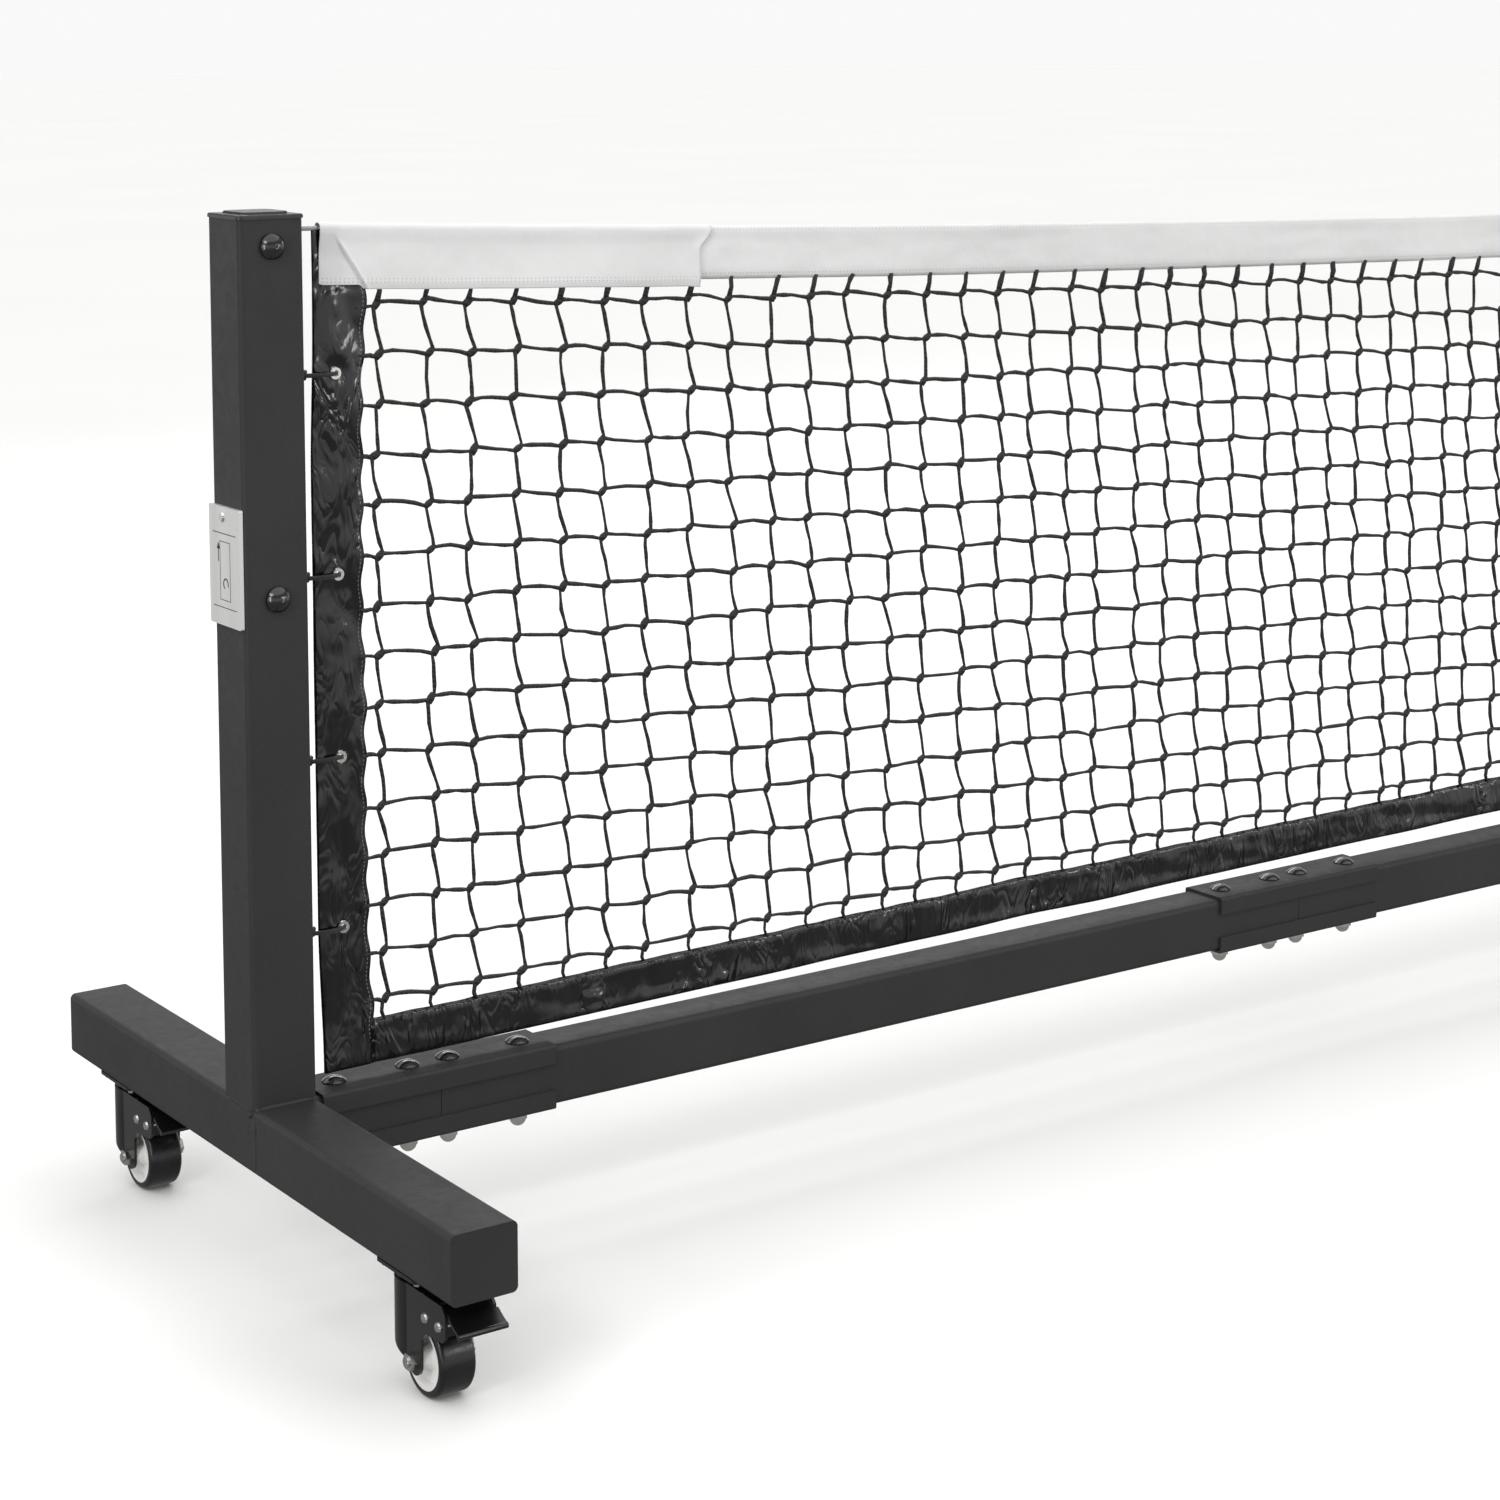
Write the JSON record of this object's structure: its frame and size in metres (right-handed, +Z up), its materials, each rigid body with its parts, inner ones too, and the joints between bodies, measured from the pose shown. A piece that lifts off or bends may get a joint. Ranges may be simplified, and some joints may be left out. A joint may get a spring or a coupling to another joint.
{
  "type": "rolling pickleball net",
  "caption": "Court net laced between two square posts on caster feet, joined by a bolted sectional base tube; wheels swivel, roll and have foot brakes.",
  "frame": {"origin": "on the floor, midway between the posts and midway along the feet", "axes": "+X along the net towards the right post, +Y across the net, away from the brake pedals, +Z up"},
  "size_m": [6.7766, 0.734, 0.927],
  "materials": {
    "charcoal_powder_coat": "satin powder coat",
    "black_plastic": "semi-gloss moulded",
    "black_nylon": "matte moulded",
    "black_bolts": "gloss black oxide",
    "nickel_plate": "bright nickel",
    "zinc_plate": "zinc plated",
    "plate_metal": "satin",
    "white_vinyl": "coated fabric",
    "black_vinyl": "glossy coated fabric",
    "black_twine": "braided twine",
    "black_cord": "braided cord",
    "grey_cord": "braided cord",
    "black_caster_steel": "gloss",
    "white_nylon": "moulded",
    "black_tyre": "glossy polyurethane"
  },
  "bodies": {
    "frame": {"left_post_tube": "charcoal_powder_coat", "left_post_cap": "black_plastic", "left_foot_tube": "charcoal_powder_coat", "left_base_stub": "charcoal_powder_coat", "left_net_side_band": "black_vinyl", "left_top_cord": "grey_cord", "right_post_tube": "charcoal_powder_coat", "right_post_cap": "black_plastic", "right_foot_tube": "charcoal_powder_coat", "right_base_stub": "charcoal_powder_coat", "right_net_side_band": "black_vinyl", "right_top_cord": "grey_cord", "base_section_1": "charcoal_powder_coat", "base_section_2": "charcoal_powder_coat", "base_section_3": "charcoal_powder_coat", "base_section_4": "charcoal_powder_coat", "base_section_5": "charcoal_powder_coat", "base_section_6": "charcoal_powder_coat", "joint_channels_top": "charcoal_powder_coat", "joint_channels_bottom": "charcoal_powder_coat", "joint_carriage_bolts": "black_bolts", "cap_nuts": "nickel_plate", "instruction_plates": "plate_metal", "plate_rivets": "nickel_plate", "post_bolts": "black_bolts", "lacing_eyes": "black_bolts", "net_head_tape": "white_vinyl", "net_mesh_panel": "black_twine", "net_bottom_band": "black_vinyl", "net_grommets": "nickel_plate", "lacing_cords": "black_cord", "caster_mounting_plates": "black_caster_steel", "caster_plate_bolts": "zinc_plate"},
    "left_sheave": {"left_cord_sheave": "black_nylon"},
    "right_sheave": {"right_cord_sheave": "black_nylon"},
    "left_front_swivel": {"left_front_caster_fork": "black_caster_steel", "left_front_wheel_axle": "zinc_plate", "left_front_brake_pins": "zinc_plate"},
    "left_front_wheel": {"left_front_wheel_hub": "white_nylon", "left_front_wheel_tyre": "black_tyre"},
    "left_front_pedal": {"left_front_brake_pedal": "black_caster_steel"},
    "left_rear_swivel": {"left_rear_caster_fork": "black_caster_steel", "left_rear_wheel_axle": "zinc_plate", "left_rear_brake_pins": "zinc_plate"},
    "left_rear_wheel": {"left_rear_wheel_hub": "white_nylon", "left_rear_wheel_tyre": "black_tyre"},
    "left_rear_pedal": {"left_rear_brake_pedal": "black_caster_steel"},
    "right_front_swivel": {"right_front_caster_fork": "black_caster_steel", "right_front_wheel_axle": "zinc_plate", "right_front_brake_pins": "zinc_plate"},
    "right_front_wheel": {"right_front_wheel_hub": "white_nylon", "right_front_wheel_tyre": "black_tyre"},
    "right_front_pedal": {"right_front_brake_pedal": "black_caster_steel"},
    "right_rear_swivel": {"right_rear_caster_fork": "black_caster_steel", "right_rear_wheel_axle": "zinc_plate", "right_rear_brake_pins": "zinc_plate"},
    "right_rear_wheel": {"right_rear_wheel_hub": "white_nylon", "right_rear_wheel_tyre": "black_tyre"},
    "right_rear_pedal": {"right_rear_brake_pedal": "black_caster_steel"}
  },
  "joints": [
    {"name": "left_sheave_spin", "type": "hinge", "parent": "frame", "child": "left_sheave", "pos_m": [-3.353, 0, 0.8985], "axis": [0, 1, 0], "continuous": true},
    {"name": "right_sheave_spin", "type": "hinge", "parent": "frame", "child": "right_sheave", "pos_m": [3.353, 0, 0.8985], "axis": [0, 1, 0], "continuous": true},
    {"name": "left_front_swivel_turn", "type": "hinge", "parent": "frame", "child": "left_front_swivel", "pos_m": [-3.353, -0.273, 0.09], "axis": [0, 0, 1], "continuous": true},
    {"name": "left_front_wheel_spin", "type": "hinge", "parent": "left_front_swivel", "child": "left_front_wheel", "pos_m": [-3.353, -0.295, 0.032], "axis": [1, 0, 0], "continuous": true},
    {"name": "left_front_brake_press", "type": "hinge", "parent": "left_front_swivel", "child": "left_front_pedal", "pos_m": [-3.353, -0.3125, 0.073], "axis": [1, 0, 0], "range_deg": [0, 12]},
    {"name": "left_rear_swivel_turn", "type": "hinge", "parent": "frame", "child": "left_rear_swivel", "pos_m": [-3.353, 0.273, 0.09], "axis": [0, 0, 1], "continuous": true},
    {"name": "left_rear_wheel_spin", "type": "hinge", "parent": "left_rear_swivel", "child": "left_rear_wheel", "pos_m": [-3.353, 0.251, 0.032], "axis": [1, 0, 0], "continuous": true},
    {"name": "left_rear_brake_press", "type": "hinge", "parent": "left_rear_swivel", "child": "left_rear_pedal", "pos_m": [-3.353, 0.2335, 0.073], "axis": [1, 0, 0], "range_deg": [0, 12]},
    {"name": "right_front_swivel_turn", "type": "hinge", "parent": "frame", "child": "right_front_swivel", "pos_m": [3.353, -0.273, 0.09], "axis": [0, 0, 1], "continuous": true},
    {"name": "right_front_wheel_spin", "type": "hinge", "parent": "right_front_swivel", "child": "right_front_wheel", "pos_m": [3.353, -0.295, 0.032], "axis": [1, 0, 0], "continuous": true},
    {"name": "right_front_brake_press", "type": "hinge", "parent": "right_front_swivel", "child": "right_front_pedal", "pos_m": [3.353, -0.3125, 0.073], "axis": [1, 0, 0], "range_deg": [0, 12]},
    {"name": "right_rear_swivel_turn", "type": "hinge", "parent": "frame", "child": "right_rear_swivel", "pos_m": [3.353, 0.273, 0.09], "axis": [0, 0, 1], "continuous": true},
    {"name": "right_rear_wheel_spin", "type": "hinge", "parent": "right_rear_swivel", "child": "right_rear_wheel", "pos_m": [3.353, 0.251, 0.032], "axis": [1, 0, 0], "continuous": true},
    {"name": "right_rear_brake_press", "type": "hinge", "parent": "right_rear_swivel", "child": "right_rear_pedal", "pos_m": [3.353, 0.2335, 0.073], "axis": [1, 0, 0], "range_deg": [0, 12]}
  ]
}
